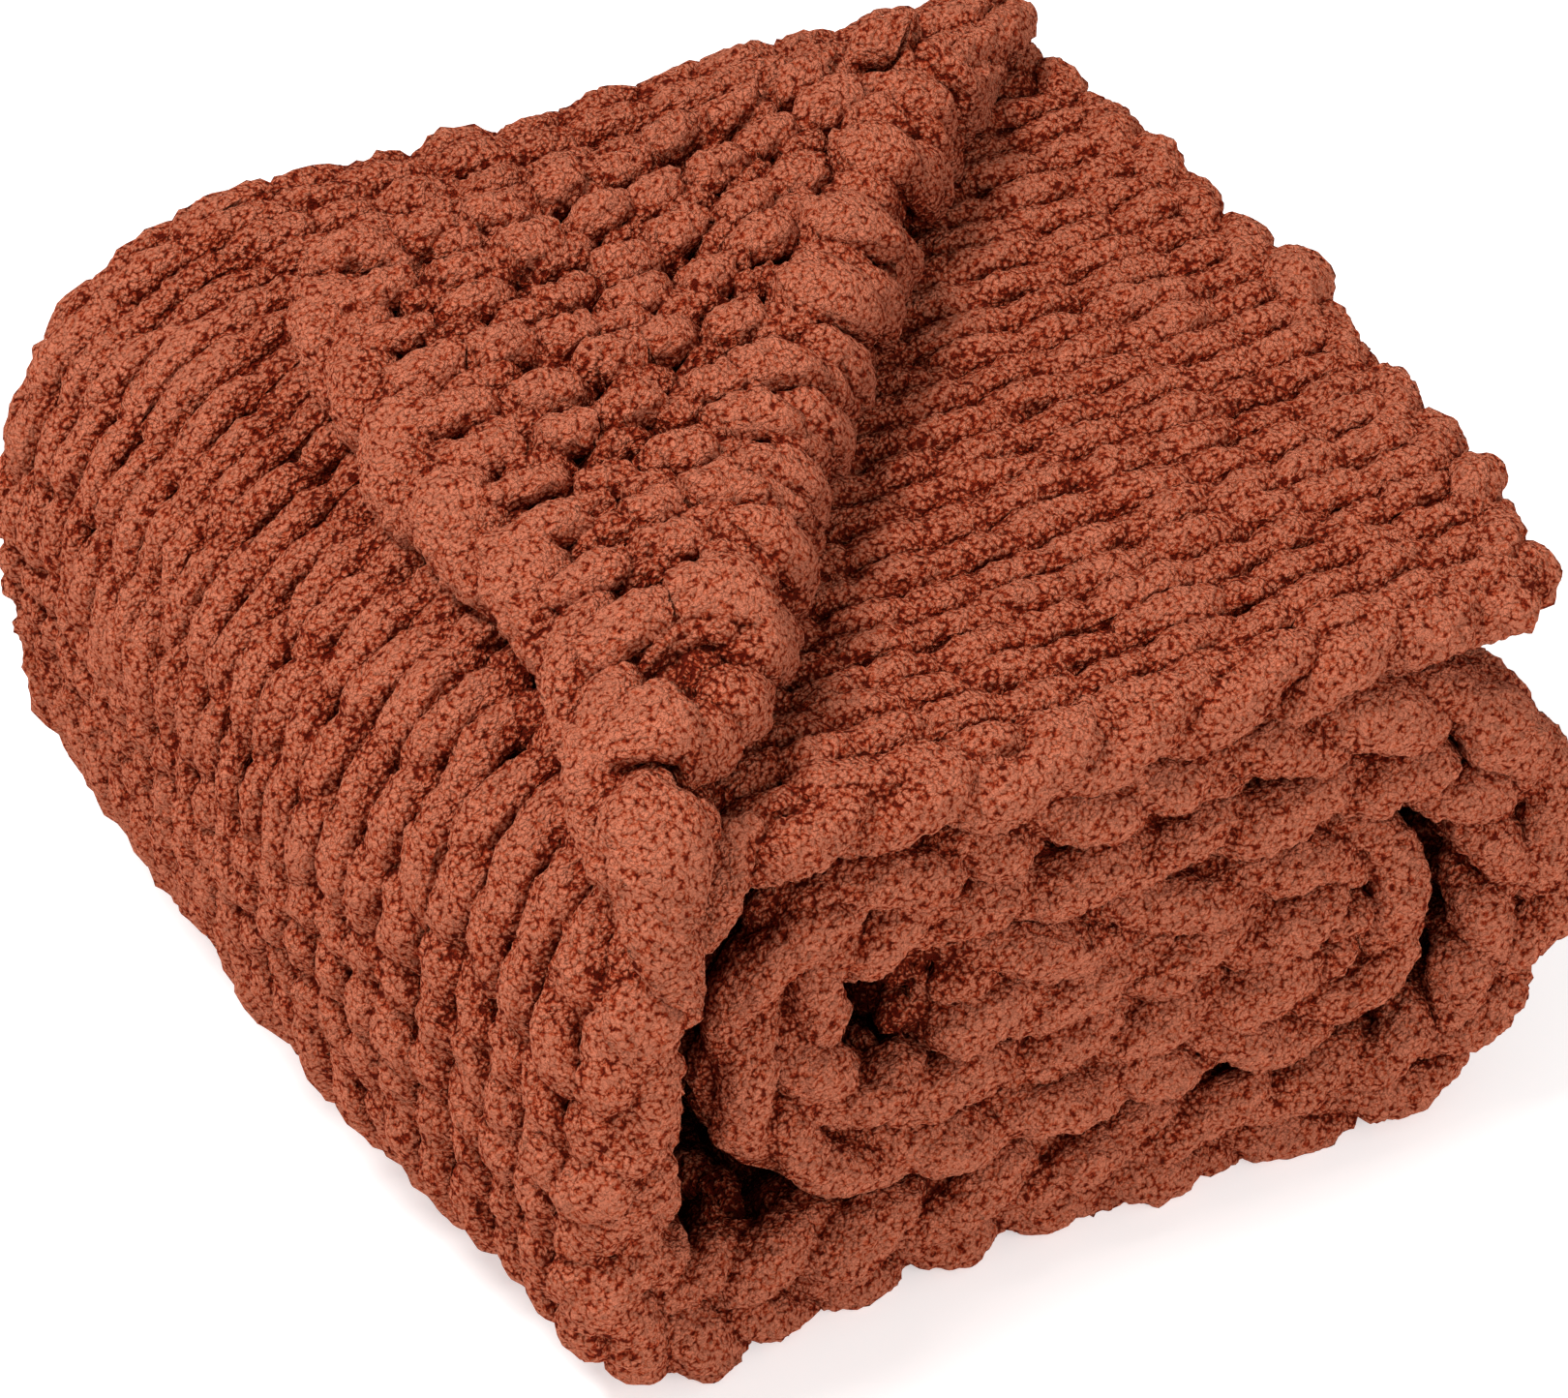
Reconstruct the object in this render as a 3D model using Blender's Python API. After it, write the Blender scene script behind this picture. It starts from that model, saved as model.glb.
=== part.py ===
# A chunky knit blanket, folded: one closed solid in the shape in which it lies. Metres, +Z up.
# It is doubled with the fold at the back, then wrapped in a flat spiral from left to right.
# The free corner of its outer half is turned back over the top.
# The origin is on the floor, under the middle of the folded blanket.
import math
from collections import namedtuple

import bmesh
import bpy
import numpy as np

COLUMN = 0.039  # width of one knit column
COLUMNS = 12  # columns in each half of the doubled cloth
DEPTH = COLUMN * COLUMNS
PITCH = 0.028  # from one layer's middle to the next
RIDGE = 0.0125  # half of the cloth's thickness on a column's crown
VALLEY = 0.0085  # the same between two columns
EDGE_REACH = 0.0115  # how far the rolled selvedge stands past the last column
BEAD_REACH = 0.013  # how far the bind-off beads stand past the last row
BEAD_NOTCH = 0.006
CENTRE_X = 0.19905  # the middle of the folded blanket, from the front left corner of its seam
CENTRE_Y = 0.2206

# The spiral's corners, on the seam between the two halves, from the top right end inwards.
# The cloth swells to the left behind its front edge, so each has a place at the front and at the back.
Corner = namedtuple("Corner", "name z front_x front_radius back_x back_radius")
SPIRAL = (
    Corner("top right end", 0.268, 0.424, 0, 0.424, 0),
    Corner("outer shoulder", 0.268, 0.010, 0.086, -0.040, 0.100),
    Corner("outer bottom left", 0.0265, 0.002, 0.050, -0.032, 0.080),
    Corner("outer bottom right", 0.0265, 0.430, 0.084, 0.430, 0.084),
    Corner("outer top right", 0.210, 0.430, 0.080, 0.430, 0.080),
    Corner("inner top left", 0.210, 0.080, 0.056, 0.045, 0.056),
    Corner("inner bottom left", 0.092, 0.080, 0.058, 0.045, 0.058),
    Corner("inner bottom right", 0.092, 0.360, 0.029, 0.360, 0.029),
    Corner("inner top right", 0.150, 0.360, 0.029, 0.360, 0.029),
    Corner("inner end", 0.150, 0.150, 0, 0.140, 0),
)
ROUTE_STEP = 0.001
SOFTEN = 41  # samples over which a corner's arc runs into the straights
SHARES = np.linspace(0, 1, 40, endpoint=False)

# Where the rows of faces lie along the spiral: stretches of it, each cut into equal spans.
Stretch = namedtuple("Stretch", "name length spans")
STRETCHES = (
    Stretch("top, as fine as half a column", 22 * COLUMN / 2, 22),
    Stretch("rest of the shoulder", 0.040, 2),
    Stretch("left wall", 0.096, 2),
    Stretch("bottom left bend", 0.092, 4),
    Stretch("bottom", 0.264, 2),
    Stretch("right bend", 0.292, 8),
    Stretch("upper run", 0.200, 2),
    Stretch("inner left bend", 0.180, 6),
    Stretch("inner lower run", 0.184, 1),
    Stretch("inner right bend", 0.110, 5),
)

# The free corner, turned back along a slanting fold.
FOLD_START = 0.034  # where the fold would meet the front edge
FOLD_RADIUS = 0.0145
FOLD_LEAN = 0.15  # how much of each metre of depth the fold drifts left
LEAN_START = 0.07
FRONT_DROOP = math.radians(80)
CREST_SQUEEZE = 0.08  # how much of its width the turned corner draws in at the fold
ROPE_SQUEEZE = 0.06  # the same at its selvedge
CORNER_SHIFT = 0.006  # how far the selvedge lies to the right of its flat place
ROPE_PULL_END = -0.25  # where on the left wall that shift has died away
HELD_AT_BACK = 0.09  # depth before the back fold over which no layer can slide
END_BULGE = 0.024  # how far the middle of the inner half's end stands out
END_CORNER = 0.008  # how far its front corner is drawn in
TIP_SLIDE = 0.030  # how far the corner's tip slides down the shoulder
TIP_HANG = 0.021  # how far it hangs over the front
TIP_DEPTH = (-0.01, 0.12)
SLIDE_RUN = (-0.30, -0.02)
HANG_RUN = (-0.20, -0.04)

# The front edges of the two halves, by places along the cloth, and the left swell by depth.
WALL_LEAD = 0.010  # how far the outer half stands forward on the left wall
WALL_END = (0.63, 0.75)
FLOOR_RECESS = 0.012  # how far the outer half stands back at the floor
FLOOR_START = (0.60, 0.68)
FLOOR_END = (0.88, 1.0)
TOP_RECESS = 0.008  # how far the inner half's front stands back on the top
TOP_RECESS_END = 0.25
SWELL_DEPTH = (-0.03, 0.23)
LONGER_HALF = 0.045  # how far the outer half's end reaches past the inner half's
WAVE = 0.003  # how far the layers rise and sink
END_EASE = 0.10  # over which the end's reach dies away
FLOOR_ROWS = (0.60, 0.93)  # along these the outer half lies flat on the floor
FLOOR_SNAP = 0.0012
RIM_LIFT = 0.004
NEAR_ALONG = 0.0005  # steps over which directions on the cloth are taken
NEAR_COLUMN = 0.01


def smooth_step(low, high, value):
    t = np.clip((value - low) / (high - low), 0, 1)
    return t * t * (3 - 2 * t)


def rounded_line(corners):
    """Points along a run of corners, each a place and a radius, with as many points to every stretch."""
    line = []
    last = corners[0][0]
    for (before, _), (here, radius), (after, _) in zip(corners, corners[1:], corners[2:]):
        into = (here - before) / np.linalg.norm(here - before)
        out = (after - here) / np.linalg.norm(after - here)
        first = here - into * radius
        centre = first + out * radius
        line += [last + (first - last) * share for share in SHARES]
        for angle in SHARES * math.pi / 2:
            line.append(centre - out * radius * math.cos(angle) + into * radius * math.sin(angle))
        last = here + out * radius
    line += [last + (corners[-1][0] - last) * share for share in SHARES]
    return np.array(line + [corners[-1][0]])


def softened(line):
    """The same line with its arcs run into its straights."""
    pad = SOFTEN // 2
    steps = np.arange(1, pad + 1)[:, None]
    head = line[0] + (line[0] - line[1]) * steps[::-1]
    tail = line[-1] + (line[-1] - line[-2]) * steps
    weights = np.hanning(SOFTEN) / np.hanning(SOFTEN).sum()
    padded = np.concatenate([head, line, tail])
    return np.stack([np.convolve(padded[:, axis], weights, "valid") for axis in (0, 1)], 1)


def spiral_lines():
    """The spiral at the front and at the back, every ROUTE_STEP of the front one."""
    front = rounded_line([(np.array((c.front_x, c.z)), c.front_radius) for c in SPIRAL])
    back = rounded_line([(np.array((c.back_x, c.z)), c.back_radius) for c in SPIRAL])
    gone = np.concatenate([[0], np.cumsum(np.linalg.norm(np.diff(front, axis=0), axis=1))])
    even = np.arange(0, gone[-1], ROUTE_STEP)
    return even, [
        softened(np.stack([np.interp(even, gone, line[:, axis]) for axis in (0, 1)], 1))
        for line in (front, back)
    ]


LINE_AT, (FRONT_LINE, BACK_LINE) = spiral_lines()
LENGTH = LINE_AT[-1]


def on_line(at, swell, axis):
    front = np.interp(at, LINE_AT, FRONT_LINE[:, axis])
    back = np.interp(at, LINE_AT, BACK_LINE[:, axis])
    return front + (back - front) * swell


def off_spiral(at, swell, height):
    """The place at a height above the seam's spiral, for a share from its front line to its back one."""
    here = np.clip(at, 0, LENGTH)
    ahead = np.minimum(here + ROUTE_STEP, LENGTH)
    behind = np.maximum(here - ROUTE_STEP, 0)
    way_x = on_line(ahead, swell, 0) - on_line(behind, swell, 0)
    way_z = on_line(ahead, swell, 1) - on_line(behind, swell, 1)
    way = np.hypot(way_x, way_z)
    x = on_line(here, swell, 0) + way_z / way * height + np.maximum(-at, 0)
    return x, on_line(here, swell, 1) - way_x / way * height


def doubled_cloth(along, column):
    """Depth and height above the seam of the doubled cloth, before its corner is turned back."""
    outer = column > COLUMNS
    back = DEPTH - PITCH / 2
    from_fold = np.abs(column - COLUMNS) * COLUMN
    quarter = math.pi * PITCH / 4
    turn = np.clip(from_fold / (PITCH / 2), 0, math.pi / 2)
    flat = np.clip((from_fold - quarter) / (DEPTH - quarter), 0, 1)
    on_floor = smooth_step(*FLOOR_START, along) * (1 - smooth_step(*FLOOR_END, along))
    outer_front = FLOOR_RECESS * on_floor - WALL_LEAD * (1 - smooth_step(*WALL_END, along))
    inner_front = TOP_RECESS * (1 - smooth_step(0, TOP_RECESS_END, along))
    front = np.where(outer, outer_front, inner_front)
    depth = np.where(flat > 0, back * (1 - flat) + front * flat, back + PITCH / 2 * np.cos(turn))
    height = np.where(outer, 1, -1) * PITCH / 2 * np.where(flat > 0, 1, np.sin(turn))
    return depth, height


def turned_corner(run, depth, height, outer):
    """The outer half's free corner, rolled back along the slanting fold on to the cloth behind it."""
    past = (run - depth - FOLD_START) / math.sqrt(2)
    angle = np.clip(past / FOLD_RADIUS, 0, math.pi)
    half_turn = math.pi * FOLD_RADIUS
    reach = np.where(past > half_turn, half_turn - past, FOLD_RADIUS * np.sin(angle))
    foot_run = (run + depth + FOLD_START) / 2
    foot_depth = (run + depth - FOLD_START) / 2
    turned = outer & (past > 0)
    height = np.where(turned, height + FOLD_RADIUS * (1 - np.cos(angle)), height)
    run = np.where(turned, foot_run + reach / math.sqrt(2), run)
    depth = np.where(turned, foot_depth - reach / math.sqrt(2), depth)
    return run, depth, height


def slid_over(run, depth, outer):
    """The outer half drifts left towards the back, and the corner's tip slides down and forwards."""
    rope = FOLD_START + math.pi * FOLD_RADIUS / math.sqrt(2)
    crest = depth + FOLD_START + FOLD_RADIUS * math.sqrt(2)
    share = np.clip((run - rope) / np.maximum(crest - rope, 0.01), 0, 1)
    width = np.maximum(crest - rope, 0)
    drift = share * (FOLD_LEAN * np.maximum(depth - LEAN_START, 0) + CREST_SQUEEZE * width)
    back_in = ROPE_SQUEEZE * width + CORNER_SHIFT
    drift = drift - back_in * (1 - share) * smooth_step(ROPE_PULL_END, rope, run)
    slide = TIP_SLIDE * (1 - smooth_step(*TIP_DEPTH, depth)) * smooth_step(*SLIDE_RUN, run)
    hang = TIP_HANG * (1 - smooth_step(*TIP_DEPTH, depth)) * smooth_step(*HANG_RUN, run)
    held = np.where(outer, 1 - smooth_step(DEPTH - HELD_AT_BACK, DEPTH - PITCH / 2, depth), 0)
    return run - (drift + slide) * held, depth - hang * held


def hung_over_front(depth, height, outer):
    """What lies past the front edge bends down round the inner half's selvedge."""
    past = np.maximum(-depth, 0)
    radius = np.maximum(height + PITCH / 2, PITCH / 2)
    angle = np.minimum(past / radius, FRONT_DROOP)
    straight = np.maximum(past - FRONT_DROOP * radius, 0)
    bent_depth = -radius * np.sin(angle) - straight * np.cos(angle)
    bent_height = -PITCH / 2 + radius * np.cos(angle) - straight * np.sin(angle)
    bent = outer & (past > 0)
    return np.where(bent, bent_depth, depth), np.where(bent, bent_height, height)


def waved(x, y, z):
    """The layers wave a little, but the floor side stays flat. The origin moves under the middle."""
    wave = WAVE * np.sin(17 * x + 9 * y) * np.sin(11 * y + 1.0)
    return np.stack([x - CENTRE_X, y - CENTRE_Y, z + wave * smooth_step(0.02, 0.12, z)], -1)


def cloth(along, column):
    """A point on the cloth's middle surface: along runs from the bind-off, column from 0 to 24."""
    along, column = np.broadcast_arrays(np.asarray(along, float), np.asarray(column, float))
    outer = column > COLUMNS
    depth, height = doubled_cloth(along, column)
    run, depth, height = turned_corner(SPIRAL[0].front_x - along, depth, height, outer)
    run, depth = slid_over(run, depth, outer)
    depth, height = hung_over_front(depth, height, outer)
    swell = smooth_step(*SWELL_DEPTH, depth)
    x, z = off_spiral(SPIRAL[0].front_x - run, swell, height)
    return waved(x, depth, z)


def cloth_frame(along, column):
    """The middle surface's point, its directions along and across, and its normal on the knit side."""
    point = cloth(along, column)
    down = cloth(along + NEAR_ALONG, column) - cloth(along - NEAR_ALONG, column)
    across = cloth(along, column + NEAR_COLUMN) - cloth(along, column - NEAR_COLUMN)
    down /= np.linalg.norm(down, axis=-1, keepdims=True)
    across /= np.linalg.norm(across, axis=-1, keepdims=True)
    normal = np.cross(down, across)
    return point, down, across, normal / np.linalg.norm(normal, axis=-1, keepdims=True)


def column_lines():
    """Columns at which the faces' edges run: crowns and valleys, and four steps round the back fold."""
    flat = np.arange(0, COLUMNS - 0.75, 0.5)
    quarter = math.pi * PITCH / 4 / COLUMN
    bend = np.array((-1, -0.5, 0, 0.5, 1)) * quarter + COLUMNS
    return np.concatenate([flat, bend, 2 * COLUMNS - flat[::-1]])


def row_lines():
    rows = [0.0]
    for stretch in STRETCHES:
        rows += list(rows[-1] + stretch.length * np.arange(1, stretch.spans + 1) / stretch.spans)
    return np.array(rows + [LENGTH - EDGE_REACH])


def half_thickness(column):
    """Half of the cloth's thickness: most on a column's crown, least between two and at the selvedges."""
    crown = 1 - np.abs(2 * (column % 1) - 1)
    return VALLEY + (RIDGE - VALLEY) * crown


def past_start(column):
    """How far the cast-off end reaches past its mean line, by column."""
    longer = LONGER_HALF * smooth_step(12.5, 16, column) * (1 - smooth_step(15, 22, column))
    bulge = END_BULGE * np.clip(1 - ((column - 4) / 8) ** 2, 0, 1)
    return longer + bulge - END_CORNER * (1 - smooth_step(0, 2, column))


def blanket_mesh():
    columns = column_lines()
    rows = row_lines()
    along = rows[:, None] - past_start(columns)[None, :] * (1 - smooth_step(0, END_EASE, rows))[:, None]
    column = np.broadcast_to(columns, along.shape)
    point, down, across, normal = cloth_frame(along, column)
    half = half_thickness(column)[..., None]
    on_floor = (rows > FLOOR_ROWS[0]) & (rows < FLOOR_ROWS[1])
    under = np.where(on_floor[:, None, None] & (column > COLUMNS + 1)[..., None], RIDGE, half)
    knit = point + normal * under
    purl = point - normal * half
    knit[..., 2] = np.where(knit[..., 2] < FLOOR_SNAP, 0, knit[..., 2])

    bm = bmesh.new()
    count_rows, count_columns = along.shape
    knit_verts = [[bm.verts.new(knit[r, c]) for c in range(count_columns)] for r in range(count_rows)]
    purl_verts = [[bm.verts.new(purl[r, c]) for c in range(count_columns)] for r in range(count_rows)]
    for r in range(count_rows - 1):
        for c in range(count_columns - 1):
            square(bm, knit_verts, r, c, False)
            square(bm, purl_verts, r, c, True)

    rim = [(0, c) for c in range(count_columns)]
    rim += [(r, count_columns - 1) for r in range(1, count_rows)]
    rim += [(count_rows - 1, c) for c in range(count_columns - 2, -1, -1)]
    rim += [(r, 0) for r in range(count_rows - 2, 0, -1)]
    rim_verts = []
    for r, c in rim:
        crown = 1 - abs(2 * (columns[c] % 1) - 1)
        bead = BEAD_NOTCH + (BEAD_REACH - BEAD_NOTCH) * crown
        outward = down[r, c] * bead * ((r == count_rows - 1) - (r == 0))
        outward = outward + across[r, c] * EDGE_REACH * ((c == count_columns - 1) - (c == 0))
        place = point[r, c] + outward
        place[2] = max(place[2], RIM_LIFT)
        rim_verts.append(bm.verts.new(place))
    for i, (r, c) in enumerate(rim):
        j = (i + 1) % len(rim)
        far_r, far_c = rim[j]
        bm.faces.new((knit_verts[far_r][far_c], knit_verts[r][c], rim_verts[i], rim_verts[j]))
        bm.faces.new((purl_verts[r][c], purl_verts[far_r][far_c], rim_verts[j], rim_verts[i]))

    bmesh.ops.triangulate(bm, faces=[f for f in bm.faces if len(f.verts) > 3])
    bmesh.ops.recalc_face_normals(bm, faces=bm.faces)
    mesh = bpy.data.meshes.new("blanket")
    bm.to_mesh(mesh)
    bm.free()
    return mesh


def square(bm, verts, r, c, flipped):
    """Two triangles of one face of the cloth, cut along the line on which the corner is turned back."""
    corners = [verts[r][c], verts[r + 1][c], verts[r + 1][c + 1], verts[r][c + 1]]
    pair = [(corners[0], corners[1], corners[2]), (corners[0], corners[2], corners[3])]
    for triangle in pair:
        bm.faces.new(triangle[::-1] if flipped else triangle)


def chenille():
    material = bpy.data.materials.new("terracotta chenille")
    material.use_nodes = True
    shader = material.node_tree.nodes["Principled BSDF"]
    shader.inputs["Base Color"].default_value = (0.46, 0.135, 0.062, 1)
    shader.inputs["Roughness"].default_value = 0.95
    shader.inputs["Metallic"].default_value = 0.0
    return material


def build_blanket():
    blanket = bpy.data.objects.new("blanket", blanket_mesh())
    bpy.context.scene.collection.objects.link(blanket)
    blanket.data.materials.append(chenille())
    blanket.data.shade_smooth()


for old in list(bpy.data.objects):
    bpy.data.objects.remove(old, do_unlink=True)
build_blanket()
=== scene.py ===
import math
import bmesh
import bpy
import numpy as np
from mathutils import Matrix
from mathutils.bvhtree import BVHTree


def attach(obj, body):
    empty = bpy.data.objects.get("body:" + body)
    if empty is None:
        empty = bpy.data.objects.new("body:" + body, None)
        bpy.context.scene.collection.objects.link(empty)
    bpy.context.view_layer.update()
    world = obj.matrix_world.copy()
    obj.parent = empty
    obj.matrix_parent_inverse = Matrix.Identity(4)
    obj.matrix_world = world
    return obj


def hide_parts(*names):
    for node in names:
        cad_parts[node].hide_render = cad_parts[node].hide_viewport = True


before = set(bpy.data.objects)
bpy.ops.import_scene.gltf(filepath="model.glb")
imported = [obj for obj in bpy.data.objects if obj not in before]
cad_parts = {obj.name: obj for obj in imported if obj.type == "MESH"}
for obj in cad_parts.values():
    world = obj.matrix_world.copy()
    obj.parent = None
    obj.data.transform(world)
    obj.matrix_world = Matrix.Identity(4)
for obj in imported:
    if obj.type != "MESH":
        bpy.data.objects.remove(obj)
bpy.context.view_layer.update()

# The way the cloth lies, in metres: the same sizes as its solid's.
cloth = dict(
    column=0.039, columns=12, pitch=0.028, centre=(0.19905, 0.2206),
    foldStart=0.034, foldRadius=0.0145, foldLean=0.15, leanStart=0.07, frontDroop=math.radians(80),
    leastWidth=0.01, crestSqueeze=0.08, ropeSqueeze=0.06, cornerShift=0.006,
    ropePullEnd=-0.25, heldAtBack=0.09,
    tipSlide=0.030, tipHang=0.021, tipDepth=(-0.01, 0.12), slideRun=(-0.30, -0.02), hangRun=(-0.20, -0.04),
    wallLead=0.010, wallEnd=(0.63, 0.75), floorRecess=0.012, floorStart=(0.60, 0.68), floorEnd=(0.88, 1.0),
    topRecess=0.008, topRecessEnd=0.25, swellDepth=(-0.03, 0.23),
    longerHalf=0.045, longerFrom=(12.5, 16), longerTo=(15, 22), endBulge=0.024, bulgeColumn=4, bulgeColumns=8,
    endCorner=0.008, cornerColumns=(0, 2), endEase=0.30,
    wave=0.003, waveAlong=17, waveDeep=9, waveDeepAgain=11, waveFrom=1.0, waveHeight=(0.02, 0.12),
    step=0.001, cornerSteps=40, soften=41, endsShort=0.004, edgeIn=0.02,
    drift=0.0045, driftSize=0.13, driftSeed=41, swellOff=0.0025, swellSize=0.10, swellSeed=43,
    pressedTo=0.75, pressEase=0.020, nearAlong=0.0006, nearColumn=0.012,
)
depthWhole = cloth["column"] * cloth["columns"]
wholeRow = 2 * cloth["columns"]
# height of the seam, then its place and bend at the front and at the back, from the right end inwards
spiral = (
    (0.268, 0.424, 0, 0.424, 0),
    (0.268, 0.010, 0.086, -0.040, 0.100),
    (0.0265, 0.002, 0.050, -0.032, 0.080),
    (0.0265, 0.430, 0.084, 0.430, 0.084),
    (0.210, 0.430, 0.080, 0.430, 0.080),
    (0.210, 0.080, 0.056, 0.045, 0.056),
    (0.092, 0.080, 0.058, 0.045, 0.058),
    (0.092, 0.360, 0.029, 0.360, 0.029),
    (0.150, 0.360, 0.029, 0.360, 0.029),
    (0.150, 0.150, 0, 0.140, 0),
)
runStart = spiral[0][1]


# 0 below low and 1 above high, with a smooth step between
def easeStep(low, high, value):
    t = np.clip((value - low) / (high - low), 0, 1)
    return t * t * (3 - 2 * t)


# a line through square corners, each rounded by its own radius
def roundedLine(corners):
    shares = np.linspace(0, 1, cloth["cornerSteps"], endpoint=False)
    line = []
    last = corners[0][0]
    for (before, _), (here, radius), (after, _) in zip(corners, corners[1:], corners[2:]):
        into = (here - before) / np.linalg.norm(here - before)
        out = (after - here) / np.linalg.norm(after - here)
        first = here - into * radius
        middle = first + out * radius
        line += [last + (first - last) * share for share in shares]
        line += [
            middle - out * radius * math.cos(turn) + into * radius * math.sin(turn)
            for turn in shares * math.pi / 2
        ]
        last = here + out * radius
    line += [last + (corners[-1][0] - last) * share for share in shares]
    return np.array(line + [corners[-1][0]])


# eases the jumps in how sharply the line bends
def softenedLine(line):
    pad = cloth["soften"] // 2
    steps = np.arange(1, pad + 1)[:, None]
    head = line[0] + (line[0] - line[1]) * steps[::-1]
    tail = line[-1] + (line[-1] - line[-2]) * steps
    weights = np.hanning(cloth["soften"])
    longLine = np.concatenate([head, line, tail])
    return np.stack([np.convolve(longLine[:, k], weights / weights.sum(), "valid") for k in (0, 1)], 1)


def spiralLines():
    front = roundedLine([(np.array((c[1], c[0])), c[2]) for c in spiral])
    back = roundedLine([(np.array((c[3], c[0])), c[4]) for c in spiral])
    gone = np.concatenate([[0], np.cumsum(np.linalg.norm(np.diff(front, axis=0), axis=1))])
    even = np.arange(0, gone[-1], cloth["step"])
    return even, [
        softenedLine(np.stack([np.interp(even, gone, line[:, k]) for k in (0, 1)], 1))
        for line in (front, back)
    ]


lineAt, (frontLine, backLine) = spiralLines()
clothLength = lineAt[-1]


# swell is 0 on the front edge's line and 1 on the back's
def onLine(at, swell, axis):
    front = np.interp(at, lineAt, frontLine[:, axis])
    return front + (np.interp(at, lineAt, backLine[:, axis]) - front) * swell


def offSpiral(at, swell, height):
    here = np.clip(at, 0, clothLength)
    ahead = np.minimum(here + cloth["step"], clothLength)
    behind = np.maximum(here - cloth["step"], 0)
    wayX = onLine(ahead, swell, 0) - onLine(behind, swell, 0)
    wayZ = onLine(ahead, swell, 1) - onLine(behind, swell, 1)
    way = np.hypot(wayX, wayZ)
    x = onLine(here, swell, 0) + wayZ / way * height + np.maximum(-at, 0)
    return x, onLine(here, swell, 1) - wayX / way * height


# depth and height of the doubled cloth before it is wound: the outer half is above, the back fold deepest in
def doubledCloth(along, column):
    half, pitch = cloth["columns"], cloth["pitch"]
    outer = column > half
    back = depthWhole - pitch / 2
    fromFold = np.abs(column - half) * cloth["column"]
    quarter = math.pi * pitch / 4
    turn = np.clip(fromFold / (pitch / 2), 0, math.pi / 2)
    flat = np.clip((fromFold - quarter) / (depthWhole - quarter), 0, 1)
    onFloor = easeStep(*cloth["floorStart"], along) * (1 - easeStep(*cloth["floorEnd"], along))
    outerFront = cloth["floorRecess"] * onFloor - cloth["wallLead"] * (1 - easeStep(*cloth["wallEnd"], along))
    innerFront = cloth["topRecess"] * (1 - easeStep(0, cloth["topRecessEnd"], along))
    front = np.where(outer, outerFront, innerFront)
    depth = np.where(flat > 0, back * (1 - flat) + front * flat, back + pitch / 2 * np.cos(turn))
    height = np.where(outer, 1, -1) * pitch / 2 * np.where(flat > 0, 1, np.sin(turn))
    return depth, height


# the outer half's free corner, folded over a line at 45 degrees
def turnedCorner(run, depth, height, outer):
    start, radius = cloth["foldStart"], cloth["foldRadius"]
    past = (run - depth - start) / math.sqrt(2)
    angle = np.clip(past / radius, 0, math.pi)
    halfTurn = math.pi * radius
    reach = np.where(past > halfTurn, halfTurn - past, radius * np.sin(angle))
    footRun = (run + depth + start) / 2
    footDepth = (run + depth - start) / 2
    turned = outer & (past > 0)
    height = np.where(turned, height + radius * (1 - np.cos(angle)), height)
    run = np.where(turned, footRun + reach / math.sqrt(2), run)
    depth = np.where(turned, footDepth - reach / math.sqrt(2), depth)
    return run, depth, height


# the turned corner's slide to the left, and its tip's hang over the front edge
def slidOver(run, depth, outer):
    ropeAt = cloth["foldStart"] + math.pi * cloth["foldRadius"] / math.sqrt(2)
    crest = depth + cloth["foldStart"] + cloth["foldRadius"] * math.sqrt(2)
    share = np.clip((run - ropeAt) / np.maximum(crest - ropeAt, cloth["leastWidth"]), 0, 1)
    width = np.maximum(crest - ropeAt, 0)
    lean = cloth["foldLean"] * np.maximum(depth - cloth["leanStart"], 0)
    drift = share * (lean + cloth["crestSqueeze"] * width)
    backIn = cloth["ropeSqueeze"] * width + cloth["cornerShift"]
    drift = drift - backIn * (1 - share) * easeStep(cloth["ropePullEnd"], ropeAt, run)
    atTip = 1 - easeStep(*cloth["tipDepth"], depth)
    slide = cloth["tipSlide"] * atTip * easeStep(*cloth["slideRun"], run)
    hang = cloth["tipHang"] * atTip * easeStep(*cloth["hangRun"], run)
    free = 1 - easeStep(depthWhole - cloth["heldAtBack"], depthWhole - cloth["pitch"] / 2, depth)
    held = np.where(outer, free, 0)
    return run - (drift + slide) * held, depth - hang * held


# what reaches past the front edge bends down over it
def hungOverFront(depth, height, outer):
    pitch, droop = cloth["pitch"], cloth["frontDroop"]
    past = np.maximum(-depth, 0)
    radius = np.maximum(height + pitch / 2, pitch / 2)
    angle = np.minimum(past / radius, droop)
    straight = np.maximum(past - droop * radius, 0)
    bentDepth = -radius * np.sin(angle) - straight * np.cos(angle)
    bentHeight = -pitch / 2 + radius * np.cos(angle) - straight * np.sin(angle)
    bent = outer & (past > 0)
    return np.where(bent, bentDepth, depth), np.where(bent, bentHeight, height)


def middleOfCloth(along, column):
    outer = column > cloth["columns"]
    depth, height = doubledCloth(along, column)
    run, depth, height = turnedCorner(runStart - along, depth, height, outer)
    run, depth = slidOver(run, depth, outer)
    depth, height = hungOverFront(depth, height, outer)
    x, z = offSpiral(runStart - run, easeStep(*cloth["swellDepth"], depth), height)
    wave = cloth["wave"] * np.sin(cloth["waveAlong"] * x + cloth["waveDeep"] * depth)
    wave = wave * np.sin(cloth["waveDeepAgain"] * depth + cloth["waveFrom"])
    centreX, centreY = cloth["centre"]
    return np.stack([x - centreX, depth - centreY, z + wave * easeStep(*cloth["waveHeight"], z)], -1)


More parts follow.
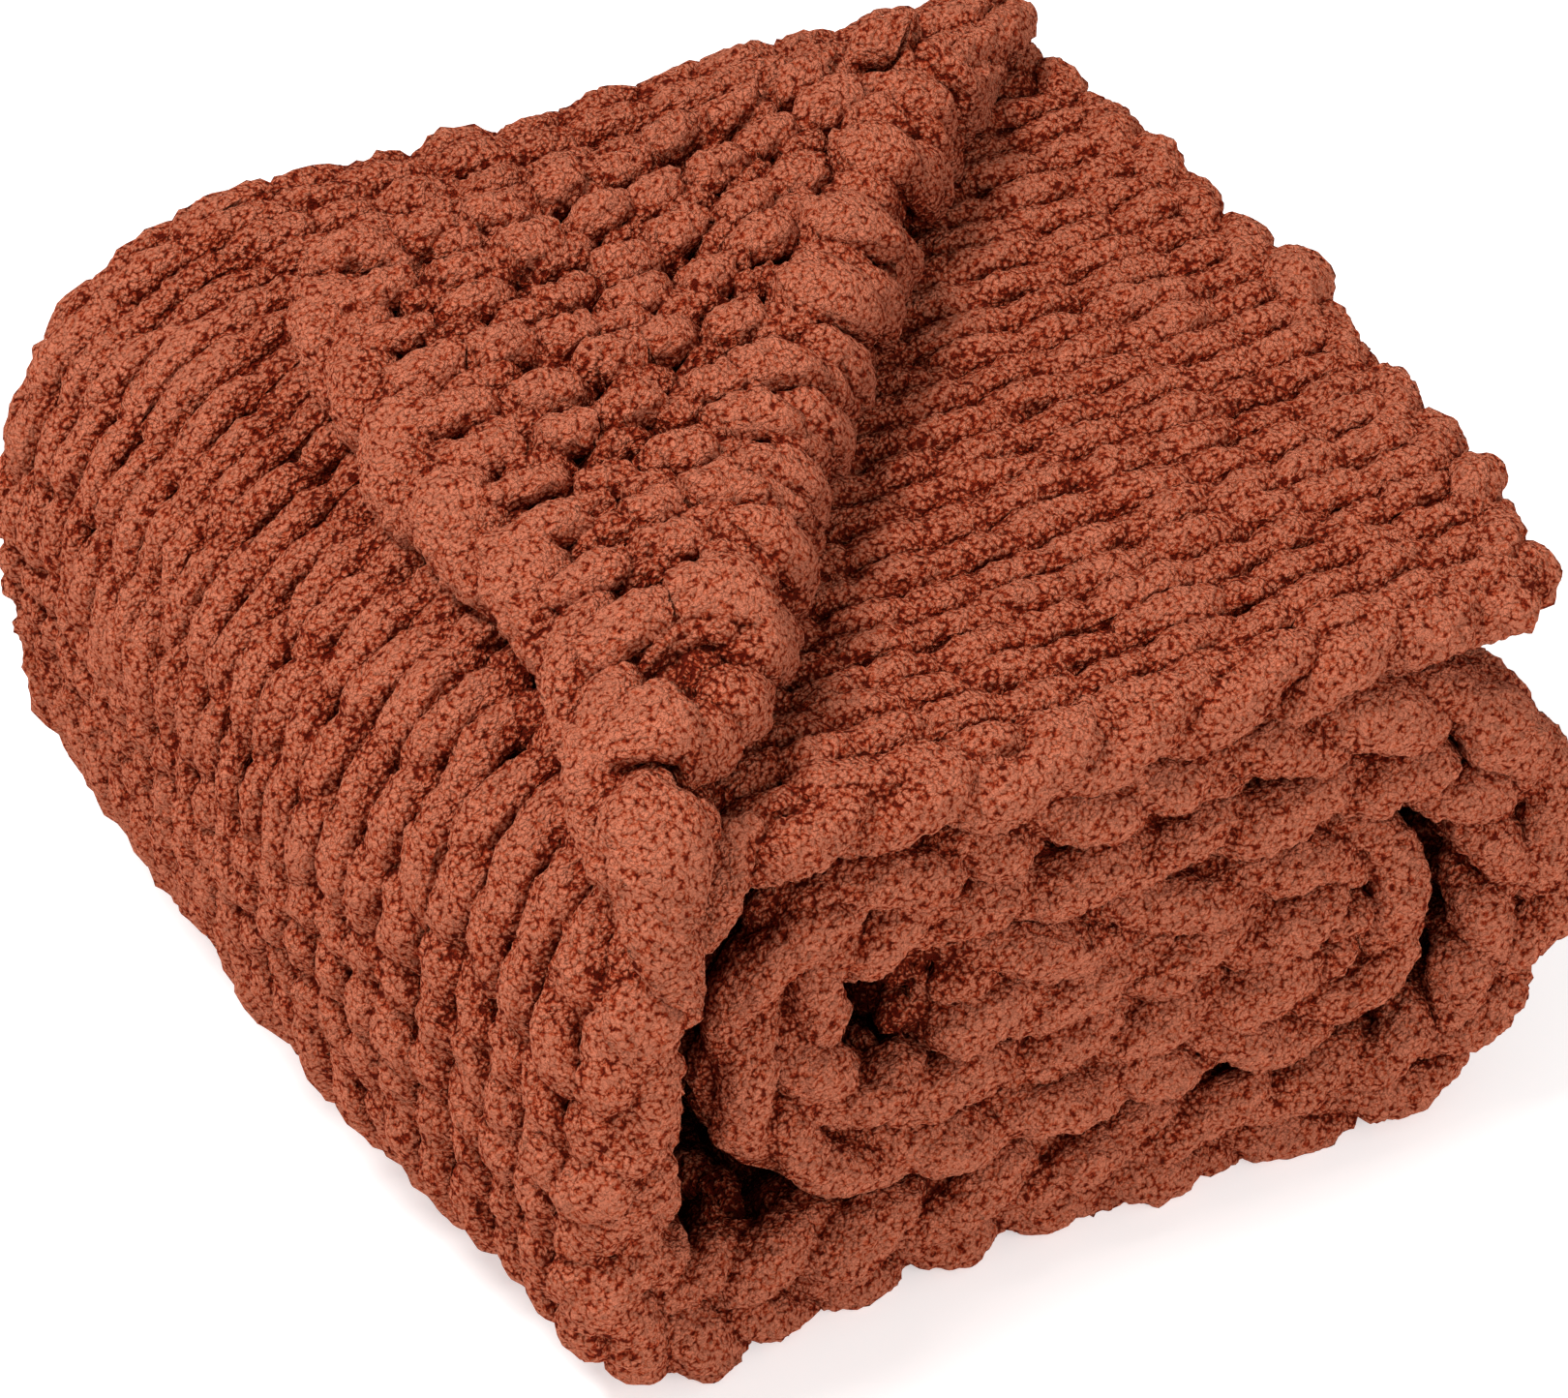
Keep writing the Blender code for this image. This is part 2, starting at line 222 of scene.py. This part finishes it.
# how far the cast-off end reaches past its mean line
def pastStart(column):
    longer = cloth["longerHalf"] * easeStep(*cloth["longerFrom"], column)
    longer = longer * (1 - easeStep(*cloth["longerTo"], column))
    fromBulge = (column - cloth["bulgeColumn"]) / cloth["bulgeColumns"]
    bulge = cloth["endBulge"] * np.clip(1 - fromBulge ** 2, 0, 1)
    return longer + bulge - cloth["endCorner"] * (1 - easeStep(*cloth["cornerColumns"], column))


def unit(v):
    return v / np.maximum(np.linalg.norm(v, axis=-1, keepdims=True), 1e-9)


# how far the turned corner's fold is passed, square to it, for a place on the flat knitting
def pastFold(down, across):
    depth = np.abs(2 * depthWhole - across)
    past = (runStart - down - depth - cloth["foldStart"]) / math.sqrt(2)
    return np.where(across > depthWhole, past, -1.0)


# The side inside the turned corner's tight fold is pressed flatter, or the yarn would turn inside out there.
def pressedInFold(down, across, off):
    middle = math.pi / 2 * cloth["foldRadius"]
    beside = np.abs(pastFold(down, across) - middle)
    inFold = 1 - easeStep(middle, middle + cloth["pressEase"], beside)
    room = cloth["pressedTo"] * cloth["foldRadius"]
    pressed = room * np.tanh(off / room)
    return np.where(off > 0, off + (pressed - off) * inFold, off)


# Places a point of the flat knitting on the folded cloth: down from the cast-off, across, and off its middle.
def onCloth(down, across, off):
    off = pressedInFold(down, across, off)
    column = across / cloth["column"]
    inside = np.clip(column, cloth["edgeIn"], wholeRow - cloth["edgeIn"])
    flat = np.stack([down, across, 0 * down], -1)
    down = down + cloth["drift"] * softNoise(flat, cloth["driftSize"], cloth["driftSeed"])
    off = off + cloth["swellOff"] * softNoise(flat, cloth["swellSize"], cloth["swellSeed"])
    even = np.clip(down, 0.0, clothLength - cloth["endsShort"])
    along = even - pastStart(inside) * (1 - easeStep(0, cloth["endEase"], even))
    near, nearColumn = cloth["nearAlong"], cloth["nearColumn"]
    point = middleOfCloth(along, inside)
    wayDown = unit(middleOfCloth(along + near, inside) - middleOfCloth(along - near, inside))
    wayAcross = unit(middleOfCloth(along, inside + nearColumn) - middleOfCloth(along, inside - nearColumn))
    normal = unit(np.cross(wayDown, wayAcross))
    point = point + wayAcross * ((column - inside) * cloth["column"])[..., None]
    point = point + wayDown * (down - even)[..., None]
    return point + normal * off[..., None]


# Large odd numbers that stir the corners of the noise's cells.
stir = dict(x=73856093, y=19349663, z=83492791, seed=2654435761, first=2246822519, second=3266489917)
lowBits, valueBits, halfValue = 0xFFFFFFFF, 0xFFFFFF, 0x7FFFFF
cellsAway = 100.0


# Smooth random values in space, from -1 to 1, the same in every run.
def softNoise(points, size, seed):
    cell = points / size + cellsAway
    low = np.floor(cell).astype(np.int64)
    part = cell - low
    part = part * part * (3 - 2 * part)
    total = np.zeros(points.shape[:-1])
    for i in (0, 1):
        for j in (0, 1):
            for k in (0, 1):
                corner = low + (i, j, k)
                key = corner[..., 0] * stir["x"] ^ corner[..., 1] * stir["y"] ^ corner[..., 2] * stir["z"]
                key = (key ^ (seed * stir["seed"])) & lowBits
                key = (key * stir["first"] & lowBits) ^ (key >> 13)
                key = (key * stir["second"] & lowBits) ^ (key >> 16)
                value = (key & valueBits) / halfValue - 1.0
                weight = np.where(i, part[..., 0], 1 - part[..., 0])
                weight = weight * np.where(j, part[..., 1], 1 - part[..., 1])
                weight = weight * np.where(k, part[..., 2], 1 - part[..., 2])
                total += value * weight
    return total


# A yarn has a plain skin everywhere, cut again where it can be seen from outside, and roughened in three sizes.
skin = dict(
    probes=40, lowestProbe=-0.25, probeReach=2.0, leastFacing=0.12, offFace=0.0018, seenFrom=0.09,
    # openAtMost and openPart turn the open share and the height in the knitting into painted shade
    openAtMost=0.58, openPart=0.45, weld=1e-6,
    lump=0.0018, lumpSize=0.016, lumpSeed=3, knob=0.0015, knobSize=0.0060, knobSeed=11,
    pile=0.0017, pileSize=0.0027, pileSeed=29,
)
yarnKeys = ("yarn", "along", "cosine", "sine")


# One closed tube of yarn: each vertex knows its yarn, how far along it is and where round the yarn.
def addYarn(bm, number, marks, sides):
    count = len(marks)
    grid = bmesh.ops.create_grid(bm, x_segments=count - 1, y_segments=sides, size=0.5)["verts"]
    yarn, along, cosine, sine = (bm.verts.layers.float[key] for key in yarnKeys)
    for vert in grid:
        i = round((vert.co.x + 0.5) * (count - 1))
        turn = 2 * math.pi * (round((vert.co.y + 0.5) * sides) % sides) / sides
        vert[yarn] = number
        vert[along] = marks[i]
        vert[cosine] = math.cos(turn)
        vert[sine] = math.sin(turn)


# The plain skin of a piece. Its place function turns yarn, along and angle into points,
# and tells how far each point stands out, 0 to 1.
def plainPiece(name, place, yarns, cuts, material):
    bm = bmesh.new()
    for key in (*yarnKeys, "open"):
        bm.verts.layers.float.new(key)
    for number, marks, sides in yarns:
        addYarn(bm, number, marks, sides)
    layers = [bm.verts.layers.float[key] for key in yarnKeys]
    held = np.array([[vert[layer] for layer in layers] for vert in bm.verts])
    points = place(held[:, 0], held[:, 1], np.arctan2(held[:, 3], held[:, 2]))[0]
    for vert, point in zip(bm.verts, points):
        vert.co = point
    bmesh.ops.remove_doubles(bm, verts=bm.verts, dist=skin["weld"])
    bmesh.ops.recalc_face_normals(bm, faces=bm.faces)
    print(name, len(bm.faces), "plain faces")
    return dict(name=name, place=place, bm=bm, cuts=cuts, material=material)


# Even directions over the sky and a little below the horizon.
def skyProbes():
    turns = np.arange(skin["probes"]) + 0.5
    height = 1 - (1 - skin["lowestProbe"]) * turns / skin["probes"]
    angle = math.pi * (1 + math.sqrt(5)) * turns
    flat = np.sqrt(1 - height ** 2)
    return np.stack([flat * np.cos(angle), flat * np.sin(angle), height], 1)


# The share of each face's view that is open goes to its corners, where it later paints shade into the colour of
# hidden places, and it is cut finer where enough is.
def cutWhereSeen(piece, tree, probes):
    bm = piece["bm"]
    openLayer = bm.verts.layers.float["open"]
    directions = [tuple(probe) for probe in probes]
    for face in bm.faces:
        normal = face.normal
        start = face.calc_center_median() + normal * skin["offFace"]
        facing = probes @ np.array(normal)
        total = through = 0.0
        for k in np.flatnonzero(facing > skin["leastFacing"]):
            total += facing[k]
            if tree.ray_cast(start, directions[k], skin["probeReach"])[0] is None:
                through += facing[k]
        share = through / total if total else 0.0
        face.tag = share > skin["seenFrom"]
        for vert in face.verts:
            vert[openLayer] += share / len(vert.link_faces)
    seen = [edge for edge in bm.edges if any(face.tag for face in edge.link_faces)]
    bmesh.ops.subdivide_edges(bm, edges=seen, cuts=piece["cuts"], use_grid_fill=True)


def attributeValues(mesh, key):
    values = np.zeros(len(mesh.vertices), np.float32)
    mesh.attributes[key].data.foreach_get("value", values)
    return values.astype(float)


# Puts the cut skin back on the round of its yarn, then roughens it into pile.
def finishPiece(piece):
    mesh = bpy.data.meshes.new(piece["name"])
    piece["bm"].to_mesh(mesh)
    piece["bm"].free()
    angle = np.arctan2(attributeValues(mesh, "sine"), attributeValues(mesh, "cosine"))
    yarn, along = np.round(attributeValues(mesh, "yarn")), attributeValues(mesh, "along")
    points, stands = piece["place"](yarn, along, angle)
    # Painted shade: the colour is darkened where a face's view of the sky is hidden and where the yarn lies low
    # in the creases of the knitting.
    openedForShade = np.minimum(attributeValues(mesh, "open") / skin["openAtMost"], 1) * skin["openPart"]
    openedForShade += np.clip(stands, 0, 1) ** 2 * (1 - skin["openPart"])
    mesh.attributes["open"].data.foreach_set("value", openedForShade.astype(np.float32))
    mesh.vertices.foreach_set("co", points.astype(np.float32).ravel())
    mesh.update()
    normals = np.zeros(len(mesh.vertices) * 3, np.float32)
    mesh.vertex_normals.foreach_get("vector", normals)
    rough = np.zeros(len(points))
    for size in ("lump", "knob", "pile"):
        rough += skin[size] * softNoise(points, skin[size + "Size"], skin[size + "Seed"])
    points = points + normals.reshape(-1, 3) * rough[:, None]
    points[:, 2] = np.maximum(points[:, 2], 0.0)
    mesh.vertices.foreach_set("co", points.astype(np.float32).ravel())
    for key in yarnKeys:
        mesh.attributes.remove(mesh.attributes[key])
    mesh.polygons.foreach_set("use_smooth", [True] * len(mesh.polygons))
    mesh.update()
    mesh.materials.append(piece["material"])
    shown = bpy.data.objects.new(piece["name"], mesh)
    bpy.context.scene.collection.objects.link(shown)
    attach(shown, "root")
    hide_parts("blanket")
    mesh.calc_loop_triangles()
    print(piece["name"], len(mesh.loop_triangles), "triangles")


# Terracotta chenille with painted light and shade: warm lit tips, and a much deeper red between the tufts and
# down between the yarns, painted shade over the yarn's own colour, partly also its darker pile base.
chenille = dict(
    # lit and shaded copies of the one terracotta: painted deep shade, painted shade, the yarn's own colour, a
    # painted light
    shadedToLitTones=(
        (0.0, (0.105, 0.006, 0.002)), (0.30, (0.27, 0.023, 0.006)), (0.58, (0.46, 0.089, 0.036)),
        (1.0, (0.64, 0.190, 0.106)),
    ),
    tufts=430.0, warpScale=260.0, warp=0.004, grain=950.0, grainShare=0.6, tuftTip=0.75, bumpDepth=0.0042,
    fineDetail=2.0, patchDetail=3.0, noiseRoughness=0.6,
    paintedShadeFromOpen=1.00, paintedShadeFromPile=2.20, patchTone=0.45, patchScale=11.0, plusTone=-1.50,
    roughness=0.96, specular=0.02, sheen=0.04, sheenRoughness=0.6, sheenTint=(0.95, 0.36, 0.20, 1),
)


def chenilleMaterial():
    material = bpy.data.materials.new("terracotta chenille pile")
    material.use_nodes = True
    nodes, links = material.node_tree.nodes, material.node_tree.links
    shader = nodes["Principled BSDF"]
    place = nodes.new("ShaderNodeTexCoord")

    def noise(scale, detail):
        node = nodes.new("ShaderNodeTexNoise")
        node.inputs["Scale"].default_value = scale
        node.inputs["Detail"].default_value = detail
        node.inputs["Roughness"].default_value = chenille["noiseRoughness"]
        links.new(place.outputs["Object"], node.inputs["Vector"])
        return node.outputs

    def multiplyAdd(value, factor, plus):
        node = nodes.new("ShaderNodeMath")
        node.operation = "MULTIPLY_ADD"
        links.new(value, node.inputs[0])
        node.inputs[1].default_value = factor
        if isinstance(plus, float):
            node.inputs[2].default_value = plus
        else:
            links.new(plus, node.inputs[2])
        return node.outputs["Value"]

    warped = nodes.new("ShaderNodeVectorMath")
    warped.operation = "MULTIPLY_ADD"
    warped.inputs[1].default_value = (chenille["warp"],) * 3
    links.new(noise(chenille["warpScale"], chenille["fineDetail"])["Color"], warped.inputs[0])
    links.new(place.outputs["Object"], warped.inputs[2])
    tufts = nodes.new("ShaderNodeTexVoronoi")
    tufts.inputs["Scale"].default_value = chenille["tufts"]
    links.new(warped.outputs["Vector"], tufts.inputs["Vector"])

    # about 0.5 on average, near 1 on a tuft's tip and near 0 between tufts
    pile = multiplyAdd(tufts.outputs["Distance"], -1.0, chenille["tuftTip"])
    pile = multiplyAdd(noise(chenille["grain"], chenille["fineDetail"])["Fac"], chenille["grainShare"], pile)
    bump = nodes.new("ShaderNodeBump")
    bump.inputs["Strength"].default_value = 1.0
    bump.inputs["Distance"].default_value = chenille["bumpDepth"]
    links.new(pile, bump.inputs["Height"])
    links.new(bump.outputs["Normal"], shader.inputs["Normal"])

    openShadeNode = nodes.new("ShaderNodeAttribute")
    openShadeNode.attribute_name = "open"
    # painted shade from the stored openness: darker where hidden from the sky and low between the yarns
    shadeAndTone = multiplyAdd(openShadeNode.outputs["Fac"], chenille["paintedShadeFromOpen"], chenille["plusTone"])
    patches = noise(chenille["patchScale"], chenille["patchDetail"])["Fac"]
    shadeAndTone = multiplyAdd(patches, chenille["patchTone"], shadeAndTone)
    # painted shade between the tufts and painted light on their tips, from the same pile that makes the bump
    shadeAndTone = multiplyAdd(pile, chenille["paintedShadeFromPile"], shadeAndTone)
    ramp = nodes.new("ShaderNodeValToRGB")
    spots = ramp.color_ramp.elements
    for number, (spotAt, colour) in enumerate(chenille["shadedToLitTones"]):
        ends = {0: spots[0], len(chenille["shadedToLitTones"]) - 1: spots[-1]}
        spot = ends[number] if number in ends else spots.new(spotAt)
        spot.position = spotAt
        spot.color = (*colour, 1)
    links.new(shadeAndTone, ramp.inputs["Fac"])
    links.new(ramp.outputs["Color"], shader.inputs["Base Color"])
    shader.inputs["Roughness"].default_value = chenille["roughness"]
    shader.inputs["Specular IOR Level"].default_value = chenille["specular"]
    shader.inputs["Sheen Weight"].default_value = chenille["sheen"]
    shader.inputs["Sheen Roughness"].default_value = chenille["sheenRoughness"]
    shader.inputs["Sheen Tint"].default_value = chenille["sheenTint"]
    return material


pileMaterial = chenilleMaterial()
print("material done")

# One course is one closed yarn, 24 loops wide. The loops' legs make the V's, their heads the purl arches.
knit = dict(
    rows=66, width=cloth["column"], loopHeight=0.0245, squareHead=0.10, lean=0.0058, rise=0.0087,
    headRise=0.0016, innerRise=0.0062, firstLoop=0.62, faceTurn=(0, 0.35),
    yarnAcross=0.0095, yarnOff=0.0092, innerFat=0.12, legFat=0.04, blunt=0.12,
    # on the turned corner, whose purl side shows
    flapFrom=(-0.01, 0.02), archFat=0.05, flapFat=0.13, crestFat=0.16, crestWidth=0.022,
    slimAtRope=(22.5, 23.8), broadRise=2.4, flapHeadRise=0.0028, flapSquareHead=0.17, flapLean=0.0100,
    flapNudge=0.4, rowSlip=0.006, slipOffFlap=0.25, slipEase=(0, 2),
    # how finely the yarn is cut, in sight and out of it
    steps=14, sides=8, cuts=4, hiddenSteps=10, hiddenSides=6, near=0.004,
    seed=7, spotsPerLoop=2, nudgeAcross=0.0021, nudgeUp=0.0026, nudgeOff=0.0014, nudgeThick=0.10,
)
rowPitch = clothLength / knit["rows"]
lastSpot = knit["spotsPerLoop"] * wholeRow
randomKnit = np.random.default_rng(knit["seed"])
nudges = randomKnit.normal(0, 1, (knit["rows"], lastSpot + 2, 4))
rowSlips = randomKnit.uniform(-1, 1, knit["rows"])


# Which face of the cloth the V's are on: the outer half's outside, and the inner half's seam side.
def knitFace(stitch):
    half = cloth["columns"]
    return np.where(stitch > half, 1.0, -1.0) * easeStep(*knit["faceTurn"], np.abs(stitch - half))


# The middle of a course's yarn on the flat knitting, and how thick it is there.
def yarnLine(row, stitch):
    turn = 2 * math.pi * stitch
    past = pastFold((row + 0.5) * rowPitch, knit["width"] * stitch)
    flap = easeStep(*knit["flapFrom"], past)
    crest = np.exp(-((past - cloth["foldRadius"] * math.pi / 2) / knit["crestWidth"]) ** 2)
    lean = knit["lean"] + (knit["flapLean"] - knit["lean"]) * flap
    across = knit["width"] * stitch + lean * np.sin(2 * turn)
    square = knit["squareHead"] + (knit["flapSquareHead"] - knit["squareHead"]) * flap
    up = -knit["loopHeight"] * (np.cos(turn) - square * np.cos(3 * turn))
    headRise = knit["headRise"] + (knit["flapHeadRise"] - knit["headRise"]) * flap
    broad = np.tanh(knit["broadRise"] * np.cos(2 * turn)) / math.tanh(knit["broadRise"])
    inner = stitch < cloth["columns"]
    rise = np.where(inner, knit["innerRise"], knit["rise"])
    off = -rise * (np.cos(2 * turn) * (1 - flap) + broad * flap) + headRise * np.cos(turn)
    spot = np.clip(knit["spotsPerLoop"] * stitch, 0, lastSpot)
    low = np.floor(spot).astype(int)
    part = easeStep(0, 1, spot - low)[..., None]
    own = nudges[row.astype(int), low] * (1 - part) + nudges[row.astype(int), low + 1] * part
    more = 1 + knit["flapNudge"] * flap
    slip = rowSlips[row.astype(int)] * easeStep(*knit["slipEase"], np.minimum(stitch, wholeRow - stitch))
    slip = slip * (knit["slipOffFlap"] + (1 - knit["slipOffFlap"]) * flap)
    across = across + own[..., 0] * knit["nudgeAcross"] * more + slip * knit["rowSlip"]
    up = up + own[..., 1] * knit["nudgeUp"] * more
    off = off * knitFace(stitch) + own[..., 2] * knit["nudgeOff"]
    atRope = easeStep(*knit["slimAtRope"], stitch)
    fat = (knit["flapFat"] * (1 - atRope) - np.cos(turn) * knit["archFat"]) * flap
    fat = fat - np.cos(2 * turn) * knit["legFat"] * (1 - flap)
    fat = fat + knit["crestFat"] * crest * (1 - atRope) + knit["innerFat"] * inner
    return np.stack([across, up, off], -1), 1 + fat + knit["nudgeThick"] * own[..., 3]


# Points on a course's yarn in space, and how far each stands out of the knitting.
def placeCourse(row, stitch, angle):
    near = knit["near"]
    line, thick = yarnLine(row, stitch)
    way = unit(yarnLine(row, stitch + near)[0] - yarnLine(row, stitch - near)[0])
    side = unit(np.cross(way, np.array((0.0, 0.0, 1.0))))
    lift = unit(np.cross(side, way))
    ends = np.sqrt(np.clip(np.minimum(stitch, wholeRow - stitch) / knit["blunt"], 0, 1))
    across = side * (knit["yarnAcross"] * np.cos(angle))[..., None]
    upward = lift * (knit["yarnOff"] * np.sin(angle))[..., None]
    skinPoint = line + (thick * ends)[..., None] * (across + upward)
    down = (row + knit["firstLoop"]) * rowPitch - skinPoint[..., 1]
    stands = np.abs(skinPoint[..., 2]) / (knit["rise"] + knit["yarnOff"])
    return onCloth(down, skinPoint[..., 0], skinPoint[..., 2]), stands


# Rows out of sight have a plainer skin; so has the inner half where the outer one wraps it.
def courseMarks(row, firstFine):
    marks = [np.zeros(1)]
    for stitch in range(wholeRow):
        steps = knit["steps"] if stitch >= firstFine else knit["hiddenSteps"]
        marks.append(stitch + (np.arange(steps) + 1) / steps)
    return np.concatenate(marks)


def courseYarns(first, last, firstFine):
    sides = knit["sides"] if firstFine < wholeRow else knit["hiddenSides"]
    return [(row, courseMarks(row, firstFine), sides) for row in range(first, last)]


# Each roped edge is two fat strands laid round each other, each strand fullest where it comes out.
rope = dict(
    strand=0.0119, swing=0.0062, fullOutside=0.16, lay=0.096, beadLay=2 * cloth["column"], blunt=0.008,
    selvedgeIn=0.004, endIn=0.003, cornerFat=0.14, cornerRun=(0.38, 0.46),
    step=0.0054, sides=10, cuts=3, near=0.001,
    seed=5, spots=120, nudge=0.0018, nudgeThick=0.13, nudgeRun=0.019,
    wander=0.9, wanderSize=0.12, wanderSeed=17,
)
edgeLength = wholeRow * cloth["column"]
endsOfCloth = cloth["endsShort"]


# Each edge places a point: how far along it has gone, out past the edge, and off the cloth's middle.
def outerSelvedge(gone, out, off):
    return onCloth(gone + endsOfCloth / 2, edgeLength + out - rope["selvedgeIn"], off)


def innerSelvedge(gone, out, off):
    return onCloth(gone + endsOfCloth / 2, rope["selvedgeIn"] - out, off)


def castOff(gone, out, off):
    return onCloth(rope["endIn"] - out, gone, off)


def castOn(gone, out, off):
    return onCloth(clothLength - endsOfCloth + (out - rope["endIn"]) / 2, gone, off)


# its place, its length and how far its strands go in one turn
edges = [
    (outerSelvedge, clothLength - endsOfCloth, rope["lay"]),
    (innerSelvedge, clothLength - endsOfCloth, rope["lay"]),
    (castOff, edgeLength, rope["beadLay"]),
    (castOn, edgeLength, rope["beadLay"]),
]
ropeNudges = np.random.default_rng(rope["seed"]).normal(0, 1, (2 * len(edges), rope["spots"], 3))


def strandLine(number, gone, lay):
    beside = np.stack([gone, 0 * gone + number // 2, 0 * gone], -1)
    wander = softNoise(beside, rope["wanderSize"], rope["wanderSeed"])
    turn = 2 * math.pi * gone / lay + math.pi * (number % 2) + rope["wander"] * wander
    spot = np.clip(gone / rope["nudgeRun"], 0, rope["spots"] - 2)
    low = np.floor(spot).astype(int)
    part = easeStep(0, 1, spot - low)[..., None]
    own = ropeNudges[number, low] * (1 - part) + ropeNudges[number, low + 1] * part
    out = rope["swing"] * np.cos(turn) + rope["nudge"] * own[..., 0]
    off = rope["swing"] * np.sin(turn) + rope["nudge"] * own[..., 1]
    thick = 1 + rope["fullOutside"] * np.cos(turn) + rope["nudgeThick"] * own[..., 2]
    if number < 2:  # the outer half's selvedge is fatter along the turned corner
        thick = thick + rope["cornerFat"] * (1 - easeStep(*rope["cornerRun"], gone))
    return np.stack([gone, out, off], -1), thick


def placeRope(numbers, gone, angle):
    points, stands = np.zeros((len(gone), 3)), np.zeros(len(gone))
    near = rope["near"]
    for number in np.unique(numbers).astype(int):
        mine = numbers == number
        edge, length, lay = edges[number // 2]
        line, thick = strandLine(number, gone[mine], lay)
        ahead, behind = (strandLine(number, gone[mine] + step, lay)[0] for step in (near, -near))
        way = unit(ahead - behind)
        side = unit(np.cross(way, np.array((0.0, 0.0, 1.0))))
        lift = unit(np.cross(side, way))
        ends = np.sqrt(np.clip(np.minimum(gone[mine], length - gone[mine]) / rope["blunt"], 0, 1))
        around = side * np.cos(angle[mine])[:, None] + lift * np.sin(angle[mine])[:, None]
        skinPoint = line + (rope["strand"] * thick * ends)[:, None] * around
        points[mine] = edge(skinPoint[:, 0], skinPoint[:, 1], skinPoint[:, 2])
        stands[mine] = np.hypot(skinPoint[:, 1], skinPoint[:, 2]) / (rope["strand"] + rope["swing"])
    return points, stands


def ropeYarns(first, last):
    strands = []
    for number in range(first, last):
        length = edges[number // 2][1]
        strands.append((number, np.linspace(0, length, int(length / rope["step"])), rope["sides"]))
    return strands


# first course, the one after the last, and the stitch from which a row is in sight
courseRuns = (
    ("turnedCornerCourses", 0, 7, 0),
    ("topCourses", 7, 14, 0),
    ("leftWallCourses", 14, 22, cloth["columns"]),
    ("floorSideCourses", 22, 33, cloth["columns"]),
    ("rightEndCourses", 33, 42, cloth["columns"]),
    ("coilCourses", 42, 66, wholeRow),
)
ropeRuns = (("selvedges", 0, 4), ("castOffAndCastOn", 4, 8))
pieces = [
    plainPiece(name, placeCourse, courseYarns(*run), knit["cuts"], pileMaterial) for name, *run in courseRuns
] + [
    plainPiece(name, placeRope, ropeYarns(*run), rope["cuts"], pileMaterial) for name, *run in ropeRuns
]


# One tree of all the yarns, so that each knows what hides it.
def treeOf(pieces):
    points, polygons, start = [], [], 0
    for piece in pieces:
        piece["bm"].verts.index_update()
        points += [vert.co[:] for vert in piece["bm"].verts]
        polygons += [[start + vert.index for vert in face.verts] for face in piece["bm"].faces]
        start = len(points)
    return BVHTree.FromPolygons(points, polygons)


wholeTree = treeOf(pieces)
probes = skyProbes()
for piece in pieces:
    cutWhereSeen(piece, wholeTree, probes)
    finishPiece(piece)


# Floor, light and camera.
studio = dict(
    floorSize=6.0, floorColour=(0.80, 0.79, 0.785), floorRoughness=0.8, floorGlow=0.50, world=0.52,
    keyAt=(-1.5, 0.3, 3.2), keySize=1.3, keyPower=110.0, fillAt=(0.9, -3.2, 1.7), fillSize=1.8, fillPower=42.0,
    lightAim=(0.0, 0.0, 0.15), sensor=36, lens=8000 / 1620 * 36, farthest=30,
    azimuth=-27.0, elevation=37.4, cameraAt=(-1.19910, -2.34862, 2.15262),
)


def buildFloor():
    bm = bmesh.new()
    bmesh.ops.create_grid(bm, x_segments=1, y_segments=1, size=studio["floorSize"])
    mesh = bpy.data.meshes.new("floor")
    bm.to_mesh(mesh)
    bm.free()
    material = bpy.data.materials.new("pale floor")
    material.use_nodes = True
    shader = material.node_tree.nodes["Principled BSDF"]
    shader.inputs["Base Color"].default_value = (*studio["floorColour"], 1)
    shader.inputs["Roughness"].default_value = studio["floorRoughness"]
    shader.inputs["Emission Color"].default_value = (1, 1, 1, 1)
    shader.inputs["Emission Strength"].default_value = studio["floorGlow"]
    mesh.materials.append(material)
    floor = bpy.data.objects.new("floor", mesh)
    bpy.context.scene.collection.objects.link(floor)


# the turn that has its back this way and its right side level
def levelTurn(back, right):
    return Matrix((right, np.cross(back, right), back)).transposed().to_4x4()


def areaLight(name, at, size, power):
    light = bpy.data.lights.new(name, "AREA")
    light.shape = "DISK"
    light.size = size
    light.energy = power
    lamp = bpy.data.objects.new(name, light)
    aim = np.array(studio["lightAim"]) - np.array(at)
    back = -aim / np.linalg.norm(aim)
    right = np.cross((0, 0, 1), back)
    right /= np.linalg.norm(right)
    lamp.matrix_world = Matrix.Translation(at) @ levelTurn(back, right)
    bpy.context.scene.collection.objects.link(lamp)


def buildCamera():
    azimuth, elevation = math.radians(studio["azimuth"]), math.radians(studio["elevation"])
    level = math.cos(elevation)
    back = np.array((math.sin(azimuth) * level, -math.cos(azimuth) * level, math.sin(elevation)))
    right = np.array((math.cos(azimuth), math.sin(azimuth), 0.0))
    data = bpy.data.cameras.new("camera")
    data.lens = studio["lens"]
    data.sensor_width = studio["sensor"]
    data.sensor_fit = "HORIZONTAL"
    data.clip_end = studio["farthest"]
    camera = bpy.data.objects.new("camera", data)
    camera.matrix_world = Matrix.Translation(studio["cameraAt"]) @ levelTurn(back, right)
    bpy.context.scene.collection.objects.link(camera)
    bpy.context.scene.camera = camera


buildFloor()
areaLight("key", studio["keyAt"], studio["keySize"], studio["keyPower"])
areaLight("fill", studio["fillAt"], studio["fillSize"], studio["fillPower"])
buildCamera()
world = bpy.data.worlds.new("studio")
world.use_nodes = True
world.node_tree.nodes["Background"].inputs["Color"].default_value = (1, 1, 1, 1)
world.node_tree.nodes["Background"].inputs["Strength"].default_value = studio["world"]
bpy.context.scene.world = world
bpy.context.scene.view_settings.view_transform = "Standard"
print("studio done")
